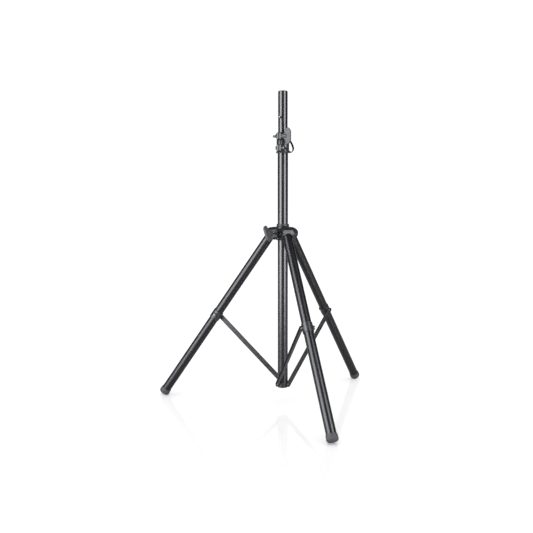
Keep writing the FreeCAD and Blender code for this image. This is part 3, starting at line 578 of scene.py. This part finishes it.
def carved(bm, cutters):
    # the mesh with its cutters taken out
    mesh, tool = bpy.data.meshes.new("solid"), bpy.data.meshes.new("cutters")
    joined(*cutters).to_mesh(tool)
    bm.to_mesh(mesh)
    bm.free()
    solid, knife = bpy.data.objects.new("solid", mesh), bpy.data.objects.new("cutters", tool)
    for obj in (solid, knife):
        scene.collection.objects.link(obj)
    boolean = solid.modifiers.new("cut", "BOOLEAN")
    boolean.operation, boolean.solver, boolean.object = "DIFFERENCE", "EXACT", knife
    return baked(solid, knife)


def baked(obj, *helpers):
    # a bmesh of an object with its modifiers applied, and the object gone
    bpy.context.view_layer.update()
    bm = bmesh.new()
    bm.from_object(obj, bpy.context.evaluated_depsgraph_get())
    for used in (obj, *helpers):
        mesh = used.data
        bpy.data.objects.remove(used)
        bpy.data.meshes.remove(mesh)
    return bm


def block(length, width, height, place):
    bm = bmesh.new()
    bmesh.ops.create_cube(bm, size=1.0)
    bm.transform(place @ Matrix.Diagonal((length, width, height, 1)))
    return bm


def cadCopy(node):
    bm = bmesh.new()
    bm.from_mesh(nodes[node].data)
    bmesh.ops.remove_doubles(bm, verts=bm.verts, dist=1e-6)
    return bm


def cast(bm, voxel, rounds, pull=0.5):
    # even faces over the whole solid, then its edges softened as a casting's are
    mesh = bpy.data.meshes.new("cast")
    bm.to_mesh(mesh)
    bm.free()
    obj = bpy.data.objects.new("cast", mesh)
    scene.collection.objects.link(obj)
    remesh = obj.modifiers.new("remesh", "REMESH")
    remesh.mode, remesh.voxel_size = "VOXEL", voxel
    bm = baked(obj)
    for _ in range(rounds):
        bmesh.ops.smooth_vert(bm, verts=bm.verts, factor=pull, use_axis_x=True, use_axis_y=True,
                              use_axis_z=True)
    return bm


print("helpers ready")


# safety strap: flat webbing from the collar's lower bolt round to the pin's ring

strapSettings = {
    "route": [(0.0152, -0.0345, 0.946), (0.023, -0.034, 0.9375), (0.0315, -0.0265, 0.929),
              (0.038, -0.012, 0.932), (0.039, 0.003, 0.945), (0.032, 0.017, 0.961),
              (0.021, 0.029, 0.978), (0.013, 0.034, 0.997), (0.0074, 0.034, 1.017),
              (0.0069, 0.0323, 1.0372)],
    "width": 0.007, "thickness": 0.0013, "across": 8, "edgeCrown": 0.00025, "twist": 62,
    "crimpPlace": (78, 1.0375, 0.0325), "crimpRadius": 0.0045, "crimpLength": 0.012,
    "crimpRoll": 0.0004, "crimpWaist": (0.25, 0.32, 0.68, 0.75), "crimpEdge": 0.0008,
    "crimpSoft": 0.0003, "edgeRound": 0.0003,
}


def makeCrimp(s):
    wide, high, roll = s["crimpRadius"], s["crimpLength"], s["crimpRoll"]
    edge, soft = s["crimpEdge"], s["crimpSoft"]
    start, narrow, widen, end = [high * share for share in s["crimpWaist"]]
    crimp = turned([
        (0, 0, 0), (wide, 0, edge), (wide, start, soft), (wide - roll, narrow, soft),
        (wide - roll, widen, soft), (wide, end, soft), (wide, high, edge), (0, high, 0)], 40)
    return piece("strapCrimp", moved(crimp, roundPole(*s["crimpPlace"])), "bolt_steel",
                 "pin_body", ["strap_crimp"])


def routeLine(s):
    curve = bpy.data.curves.new("route", "CURVE")
    curve.dimensions = "3D"
    curve.resolution_u = 24
    spline = curve.splines.new("NURBS")
    spline.points.add(len(s["route"]) - 1)
    for point, place in zip(spline.points, s["route"]):
        point.co = (*place, 1)
    spline.order_u = 3
    spline.use_endpoint_u = True
    guide = bpy.data.objects.new("route", curve)
    scene.collection.objects.link(guide)
    bpy.context.view_layer.update()
    line = bpy.data.meshes.new_from_object(guide)
    points = [vertex.co.copy() for vertex in line.vertices]
    bpy.data.objects.remove(guide)
    bpy.data.curves.remove(curve)
    bpy.data.meshes.remove(line)
    return points


def makeStrap(s, crimp):
    line = routeLine(s)
    bm = bmesh.new()
    bmesh.ops.create_grid(bm, x_segments=len(line) - 1, y_segments=s["across"], size=0.5,
                          calc_uvs=False)
    weave = bm.loops.layers.uv.new("weave")
    for face in bm.faces:
        for loop in face.loops:
            loop[weave].uv = (loop.vert.co.x + 0.5, loop.vert.co.y + 0.5)
    for vertex in bm.verts:
        index = round((vertex.co.x + 0.5) * (len(line) - 1))
        side = vertex.co.y * 2
        here = line[index]
        along = (line[min(index + 1, len(line) - 1)] - line[max(index - 1, 0)]).normalized()
        outward = Vector((here.x, here.y, 0)).normalized()
        # flat against the fittings at its ends, turned on edge in between
        share = 1 - (2 * index / (len(line) - 1) - 1) ** 4
        turn = Matrix.Rotation(math.radians(s["twist"]) * share, 3, along)
        across = turn @ along.cross(outward).normalized()
        out = across.cross(along).normalized()
        crown = s["edgeCrown"] * (1 - side * side)
        vertex.co = here + across * (side * s["width"] / 2) + out * crown
    bmesh.ops.recalc_face_normals(bm, faces=bm.faces)
    strap = piece("safetyStrap", bm, "strap_webbing", None, ["safety_strap"])
    wall = strap.modifiers.new("wall", "SOLIDIFY")
    wall.thickness, wall.offset = s["thickness"], 0
    edge = strap.modifiers.new("edge", "BEVEL")
    edge.width, edge.segments, edge.limit_method = s["edgeRound"], 2, "ANGLE"
    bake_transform(strap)


makeStrap(strapSettings, makeCrimp(strapSettings))


# mast, pole and their caps

mastSettings = {
    "outer": 0.019, "inner": 0.018, "low": 0.060, "high": 0.965, "rounding": 0.0004,
    "plugDepth": 0.015, "plugFlange": 0.003, "plugBore": 0.008, "plugFit": 0.00005,
    "plugWall": 0.002, "plugFloor": 0.0005,
}
poleSettings = {
    "outer": 0.0175, "shank": 0.0173, "inner": 0.016, "low": 0.110, "high": 1.151,
    "taper": (1.010, 1.063), "rounding": 0.0005, "pinHeight": 1.057, "pinAzimuth": 78,
    "pitch": 0.1, "holes": 7, "holeRadius": 0.004, "ringGap": 0.007,
    "capRadius": 0.017, "capRise": 0.002, "capSeat": 0.01595, "capDepth": 0.015,
    "capWall": 0.002, "dimple": 0.006, "dimpleDepth": 0.0006, "drillReach": 0.03,
}


def makeMast(s):
    piece("mastTube", tube(s["outer"], s["inner"], s["low"], s["high"], s["rounding"]),
          "mast_paint", "mast_body", ["mast_tube"])
    bore, seat, floor = s["plugBore"], s["inner"] - s["plugFit"], s["plugFloor"]
    plug = turned([
        (bore, -s["plugFlange"], 0.0006), (s["outer"], -s["plugFlange"], 0.0012),
        (s["outer"], 0, 0.0002), (seat, 0, 0), (seat, s["plugDepth"], 0.0004),
        (seat - s["plugWall"], s["plugDepth"], 0), (seat - s["plugWall"], floor, 0),
        (bore, floor, 0.0004)], 80)
    piece("mastPlug", moved(plug, lift(s["low"])), "bushing_nylon", "mast_body", ["mast_plug"])


def makePole(s):
    heights = [s["pinHeight"] - place * s["pitch"] for place in range(s["holes"])]
    rings = [height + side * s["ringGap"] for height in heights for side in (-1, 1)]
    rings += [height for height in rungs(s["low"], s["high"])
              if min(abs(height - hole) for hole in heights) > s["ringGap"] + 0.002]
    low, high = s["taper"]
    outer = sorted([(height, s["shank"] if height < high else s["outer"])
                    for height in rings + [low, high]])
    side = [(radius if height != high else s["outer"], height, 0) for height, radius in outer]
    wall = [(s["inner"], height, 0) for height in sorted(rings, reverse=True)]
    bm = turned([
        (s["shank"], s["low"], s["rounding"]), *side, (s["outer"], s["high"], s["rounding"]),
        (s["inner"], s["high"], s["rounding"]), *wall, (s["inner"], s["low"], s["rounding"])], 96)
    drills = []
    for height in heights:
        drill = disc(s["holeRadius"], -s["drillReach"], s["drillReach"], 0, 32)
        drills.append(moved(drill, roundPole(s["pinAzimuth"], height) @ alongX))
    piece("poleTube", carved(bm, drills), "pole_paint", "pole_body", ["pole_tube"])
    seat, sink = s["capSeat"], s["dimpleDepth"]
    cap = turned([
        (0, 0, 0), (seat - s["capWall"], 0, 0), (seat - s["capWall"], -s["capDepth"], 0),
        (seat, -s["capDepth"], 0.0005), (seat, 0, 0), (s["capRadius"], 0, 0.0002),
        (s["capRadius"], s["capRise"], 0.0012), (s["dimple"], s["capRise"], 0.0004),
        (s["dimple"] - sink, s["capRise"] - sink, 0.0003), (0, s["capRise"] - sink, 0)], 80)
    piece("poleCap", moved(cap, lift(s["high"])), "bushing_nylon", "pole_body", ["pole_cap"])


makeMast(mastSettings)
makePole(poleSettings)
print("mast and pole made")


# hardware shared by the joints

hexSettings = {"across": 0.013, "chamferAngle": 30, "chamferInset": 0.0001, "rounding": 0.00025}
threadSettings = {
    "pitch": 0.00125, "depth": 0.0006, "steps": 28,
    "crest": 0.18, "rootStart": 0.5, "rootEnd": 0.62,  # shares of the pitch
}
boltSettings = {
    "radius": 0.004, "head": 0.0055, "nut": 0.0065, "tail": 0.003, "nutBore": 0.00405,
    "intoHead": 0.001,
}


def boltHead(s, face):
    # a head that sits on z = face and points down
    return moved(hexagon(hexSettings, s["head"]), lift(face - s["head"]))


def makeNut(name, s, place, body, node):
    bm = carved(hexagon(hexSettings, s["nut"]), [disc(s["nutBore"], -0.01, 0.02, 0, 40)])
    piece(name, moved(bm, place), "bolt_steel", body, [node])


def makeShaft(s, low, high):
    return threaded(threadSettings, s["radius"], low, high)


# collar round the top of the mast, with its clamp bolts

collarSettings = {
    "voxel": 0.0007, "rounds": 3, "azimuth": 259, "earAxis": 0.031, "earHalf": 0.0085,
    "upperBolt": 0.988, "lowerBolt": 0.946, "bushTop": 1.0015, "bushLip": 0.021,
    "bushBore": 0.0174, "bushRise": 0.002, "tubeTop": 0.965, "knobBore": 0.016, "studTail": 0.010,
    "sideGap": 0.0005,
}


def makeCollar(s):
    piece("collarClamp", cast(cadCopy("collar_clamp"), s["voxel"], s["rounds"]), "casting_paint",
          "mast_body", ["collar_clamp"], sharp=180)
    bush = turned([
        (s["bushBore"], s["tubeTop"], 0.0002), (0.019, s["tubeTop"], 0.0002),
        (0.019, s["bushTop"], 0), (s["bushLip"], s["bushTop"], 0.0003),
        (s["bushLip"], s["bushTop"] + s["bushRise"], 0.0008),
        (s["bushBore"], s["bushTop"] + s["bushRise"], 0.0006)], 96)
    piece("collarBushing", bush, "bushing_nylon", "mast_body", ["collar_bushing"])

    half, bolt = s["earHalf"], boltSettings
    lower = roundPole(s["azimuth"], s["lowerBolt"], s["earAxis"]) @ alongY
    shaft = makeShaft(bolt, -half - bolt["intoHead"], half + bolt["nut"] + bolt["tail"])
    piece("lowerBolt", moved(joined(boltHead(bolt, -half), shaft), lower), "bolt_steel",
          "mast_body", ["collar_lower_bolt"])
    makeNut("lowerNut", bolt, lower @ lift(half), "mast_body", "collar_lower_nut")
    upper = roundPole(s["azimuth"], s["upperBolt"], s["earAxis"]) @ alongY
    makeNut("upperNut", bolt, upper @ lift(-half - bolt["nut"]), "mast_body", "collar_upper_nut")
    stud = makeShaft(bolt, -half - bolt["nut"] - s["studTail"],
                     half + s["sideGap"] + s["knobBore"])
    piece("collarStud", moved(stud, upper), "bolt_steel", "collar_knob_body", ["collar_knob_bolt"])


makeCollar(collarSettings)
print("collar made")


# wing knobs

knobShape = {
    "voxel": 0.00055, "rounds": 5, "barrel": 0.0085, "flutes": 12, "fluteRadius": 0.0016,
    "fluteSink": 0.45, "fluteLow": -0.001, "footHeight": 0.010, "footLip": 0.004,
    "collarPlace": (259, 0.988, 0.031, 0.009), "hubPlace": (240, 0.637, 0.062, 23),
}


def makeKnob(name, node, body, place, s):
    # the barrel's foot is fluted all round
    cutters = []
    for index in range(s["flutes"]):
        turn = Matrix.Rotation(math.tau * (index + 0.5) / s["flutes"], 4, "Z")
        flute = disc(s["fluteRadius"], s["fluteLow"], s["footHeight"] - s["footLip"], 0, 16)
        reach = Matrix.Translation((s["barrel"] + s["fluteRadius"] * s["fluteSink"], 0, 0))
        cutters.append(moved(flute, place @ turn @ reach))
    bm = carved(cadCopy(node), cutters)
    piece(name, cast(bm, s["voxel"], s["rounds"]), "knob_plastic", body, [node], sharp=180)


def collarKnobPlace(s):
    azimuth, height, reach, side = s["collarPlace"]
    return roundPole(azimuth, height, reach) @ Matrix.Translation((0, side, 0)) @ alongY


def hubKnobPlace(s):
    azimuth, height, reach, turn = s["hubPlace"]
    return (roundPole(azimuth, height, reach)
            @ Matrix.Rotation(math.radians(turn), 4, "X") @ alongX)


makeKnob("collarKnob", "collar_knob", "collar_knob_body", collarKnobPlace(knobShape), knobShape)
makeKnob("hubKnob", "hub_knob", "hub_knob_body", hubKnobPlace(knobShape), knobShape)
print("knobs made")


# sliding hub with its clamp block, flange and pivot bolts

hubSettings = {
    "voxel": 0.00095, "rounds": 3, "bottom": 0.610, "top": 0.663, "bushBore": 0.0191,
    "bushRadius": 0.0206, "flangeRadius": 0.023, "flangeRise": 0.008, "knobAzimuth": 240,
    "knobHeight": 0.637, "blockReach": 0.044, "slotWidth": 0.0016, "slotDepth": 0.012,
    "slotHeight": 0.020, "slotDrop": 0.010, "slotSink": 0.004,
    "slots": (-0.0045, 0.0045), "studStart": 0.0211, "studEnd": 0.078, "cheekFace": 0.02125,
}


def makeHub(s):
    cutters = []
    for offset in s["slots"]:
        place = roundPole(s["knobAzimuth"], s["knobHeight"] - s["slotDrop"], s["blockReach"])
        cutters.append(block(s["slotDepth"], s["slotWidth"], s["slotHeight"],
                             place @ Matrix.Translation((0, offset, -s["slotSink"]))))
    bm = carved(cadCopy("hub_casting"), cutters)
    piece("hubCasting", cast(bm, s["voxel"], s["rounds"]), "casting_paint", "hub_body",
          ["hub_casting"], sharp=180)
    top = s["top"] + s["flangeRise"]
    bush = turned([
        (s["bushBore"], s["bottom"], 0.0004), (s["bushRadius"], s["bottom"], 0.0003),
        (s["bushRadius"], s["top"], 0), (s["flangeRadius"], s["top"], 0.0004),
        (s["flangeRadius"], top, 0.0014), (s["bushBore"], top, 0.0008)], 96)
    piece("hubBushing", bush, "bushing_nylon", "hub_body", ["hub_bushing"])
    place = roundPole(s["knobAzimuth"], s["knobHeight"]) @ alongX
    stud = makeShaft(boltSettings, s["studStart"], s["studEnd"])
    piece("hubStud", moved(stud, place), "bolt_steel", "hub_knob_body", ["hub_knob_stud"])
    face, bolt = s["cheekFace"], boltSettings
    for letter in letters:
        place = jointPlace("leg_fold_" + letter) @ alongY
        shaft = makeShaft(bolt, -face - bolt["intoHead"], face + bolt["nut"] + bolt["tail"])
        piece("pivotBolt" + letter.upper(), moved(joined(boltHead(bolt, -face), shaft), place),
              "bolt_steel", "hub_body", ["leg_pivot_bolt_" + letter])
        makeNut("pivotNut" + letter.upper(), bolt, place @ lift(face), "hub_body",
                "leg_pivot_nut_" + letter)


makeHub(hubSettings)
print("hub made")


# legs with their rubber feet and brace saddles

footSettings = {
    "legLength": 0.76478, "radius": 0.0197, "topRadius": 0.0189, "seat": 0.0173, "floor": 0.005,
    "length": 0.024, "round": 0.008, "ribs": 36, "ribSteps": 6, "grooveSteps": 3,
    "grooveDepth": 0.0006, "grooveLow": 0.0035, "grooveHigh": 0.0150, "beadLow": 0.0190,
    "beadRise": 0.0003, "skin": 0.0005,
    # shares of the round, in from the side and up from the sole
    "roundArc": ((0.617, 0.076), (0.293, 0.293), (0.076, 0.617)),
}
saddleSettings = {
    "distance": 0.3787, "face": 0.020, "voxel": 0.00062, "rounds": 2,
}


def makeFoot(letter, s):
    wide, high = s["radius"], s["topRadius"]
    arc = [(wide - s["round"] * side, s["round"] * up, 0) for side, up in s["roundArc"]]
    profile = [
        (0, 0, 0), (wide - s["round"], 0, 0), *arc, (wide, s["round"], 0),
        (wide - 0.00005, s["round"] + 0.002, 0), (wide - 0.0001, s["grooveHigh"] - 0.001, 0),
        (wide - 0.0002, s["grooveHigh"] + 0.0006, 0), (high + s["beadRise"], s["beadLow"], 0.0002),
        (high, s["beadLow"] + 0.0004, 0.0002), (high, s["length"], 0.0008),
        (s["seat"], s["length"], 0.0003), (s["seat"], s["floor"], 0), (0, s["floor"], 0)]
    steps = s["ribs"] * s["ribSteps"]
    bm = turned(profile, steps)
    sunk = []
    for vertex in bm.verts:
        reach = math.hypot(vertex.co.x, vertex.co.y)
        step = round(math.atan2(vertex.co.y, vertex.co.x) / math.tau * steps) % s["ribSteps"]
        inBand = s["grooveLow"] < vertex.co.z < s["grooveHigh"]
        if reach > s["seat"] + s["skin"] and inBand and step < s["grooveSteps"]:
            sunk.append(vertex)
    inward = 1 - s["grooveDepth"] / wide
    bmesh.ops.scale(bm, vec=(inward, inward, 1), verts=sunk)
    bm.transform(legPlace(letter) @ lift(-s["legLength"]))
    cut = bmesh.ops.bisect_plane(bm, geom=bm.verts[:] + bm.edges[:] + bm.faces[:], dist=1e-7,
                                 plane_co=(0, 0, 0), plane_no=(0, 0, -1), clear_outer=True)
    rim = [edge for edge in cut["geom_cut"] if isinstance(edge, bmesh.types.BMEdge)]
    bmesh.ops.holes_fill(bm, edges=rim)
    bmesh.ops.recalc_face_normals(bm, faces=bm.faces)
    piece("footCap" + letter.upper(), bm, "foot_rubber", "leg_%s_body" % letter,
          ["foot_cap_" + letter], sharp=60)


def makeLeg(letter, s):
    body, place = "leg_%s_body" % letter, legPlace(letter)
    bm = tube(s["radius"], s["bore"], -s["length"], s["topRise"], s["rounding"])
    piece("legTube" + letter.upper(), moved(bm, place), "leg_paint", body,
          ["leg_tube_" + letter], material=legPaints[letter])
    makeFoot(letter, footSettings)
    saddle, bolt = saddleSettings, boltSettings
    bm = cast(cadCopy("brace_saddle_" + letter), saddle["voxel"], saddle["rounds"])
    piece("braceSaddle" + letter.upper(), bm, "saddle_steel", body, ["brace_saddle_" + letter],
          sharp=180)
    across = place @ lift(-saddle["distance"]) @ alongY
    head = moved(hexagon(hexSettings, bolt["head"]), lift(saddle["face"]))
    shaft = disc(bolt["radius"], -saddle["face"], saddle["face"] + bolt["intoHead"], 0.0003, 40)
    piece("saddleBolt" + letter.upper(), moved(joined(shaft, head), across), "bolt_steel", body,
          ["saddle_bolt_" + letter])


for letter in letters:
    makeLeg(letter, legSettings)
print("legs made")


# braces, their rivets and the bracket at the mast's foot

braceShape = {
    "lean": 44.82, "wall": 0.0018, "length": 0.3602, "face": 0.0206, "headRadius": 0.006,
    "headRise": 0.0035, "headFlat": 0.6, "headRim": 0.35, "shaft": 0.004,
    "topGrip": 0.00215, "footGrip": 0.0033,
    "voxel": 0.0006, "rounds": 1,
}
bracketSettings = {"voxel": 0.0005, "rounds": 2}


def rivet(s, grip):
    # a domed head that points down from z = 0, with its shaft above
    return turned([
        (0, -s["headRise"], 0), (s["headRadius"] * s["headFlat"], -s["headRise"], 0.0012),
        (s["headRadius"], -s["headRise"] * s["headRim"], 0.0008), (s["headRadius"], 0, 0.0002),
        (s["shaft"], 0, 0), (s["shaft"], grip, 0), (0, grip, 0)], 48)


def makeBrace(letter, s):
    place, body = bracePlace(letter), "brace_%s_body" % letter
    bm = cast(cadCopy("brace_" + letter), s["voxel"], s["rounds"])
    piece("brace" + letter.upper(), bm, "brace_paint", body, ["brace_" + letter], sharp=180)
    start = Matrix.Translation((0, -s["face"] - s["wall"], 0))
    low = jointPlace("brace_fold_" + letter) @ start @ alongY
    high = place @ lift(s["length"]) @ start @ alongY
    piece("footRivet" + letter.upper(), moved(rivet(s, s["footGrip"]), low), "bolt_steel",
          "mast_body", ["brace_foot_rivet_" + letter])
    piece("topRivet" + letter.upper(), moved(rivet(s, s["topGrip"]), high), "bolt_steel", body,
          ["brace_top_rivet_" + letter])


for letter in letters:
    makeBrace(letter, braceShape)
bracket = cast(cadCopy("brace_bracket"), bracketSettings["voxel"], bracketSettings["rounds"])
piece("braceBracket", bracket, "bracket_steel", "mast_body", ["brace_bracket"], sharp=180)
print("braces made")


# lock pin, split ring and the strap's fittings

pinSettings = {
    "azimuth": 78, "height": 1.057, "front": 0.032, "back": 0.027, "radius": 0.0035,
    "headRadius": 0.0045, "headLength": 0.007, "nose": 0.0012, "ringReach": 0.0095,
    "ringCentre": 0.0325, "wire": 0.00055, "wireSides": 14, "coilStep": 0.00105,
    "coilStart": 0.9, "coils": 1.85, "ringSteps": 72,
}
anchorSettings = {
    "radius": 0.0065, "length": 0.0045, "start": 0.01505, "bolt": 0.00405, "depth": 0.0032,
}


def makePin(s):
    place = roundPole(s["azimuth"], s["height"])
    pin = turned([
        (0, -s["front"], 0), (s["radius"], -s["front"], s["nose"]),
        (s["radius"], s["back"] - s["headLength"], 0.0003),
        (s["headRadius"], s["back"] - s["headLength"], 0.0006),
        (s["headRadius"], s["back"], 0.0012), (0, s["back"], 0)], 56)
    piece("lockPin", moved(pin, place @ alongX), "bolt_steel", "pin_body", ["lock_pin"])

    ring = bmesh.new()
    start = Matrix.Translation((s["ringReach"], 0, -s["coilStep"] * s["coilStart"]))
    bmesh.ops.create_circle(ring, segments=s["wireSides"], radius=s["wire"], matrix=start @ backY)
    bmesh.ops.spin(ring, geom=ring.verts[:] + ring.edges[:], cent=(0, 0, 0), axis=(0, 0, 1),
                   dvec=(0, 0, s["coilStep"] / s["ringSteps"]), angle=math.tau * s["coils"],
                   steps=int(s["ringSteps"] * s["coils"]), use_merge=False)
    bmesh.ops.holes_fill(ring, edges=[edge for edge in ring.edges if edge.is_boundary])
    tidyMesh(ring)
    upright = place @ Matrix.Translation((s["ringCentre"], 0, 0)) @ backY
    piece("pinRing", moved(ring, upright), "ring_chrome", "pin_body", ["pin_ring"])


def makeAnchor(s):
    collar = collarSettings
    place = roundPole(collar["azimuth"], collar["lowerBolt"], collar["earAxis"])
    cap = turned([
        (0, s["depth"], 0), (s["bolt"], s["depth"], 0), (s["bolt"], 0, 0),
        (s["radius"], 0, 0.0006), (s["radius"], s["length"], 0.0012), (0, s["length"], 0)], 48)
    piece("strapAnchor", moved(cap, place @ alongY @ lift(s["start"])), "bolt_steel",
          "mast_body", ["strap_anchor"])


makePin(pinSettings)
makeAnchor(anchorSettings)
print("pin and strap fittings made")
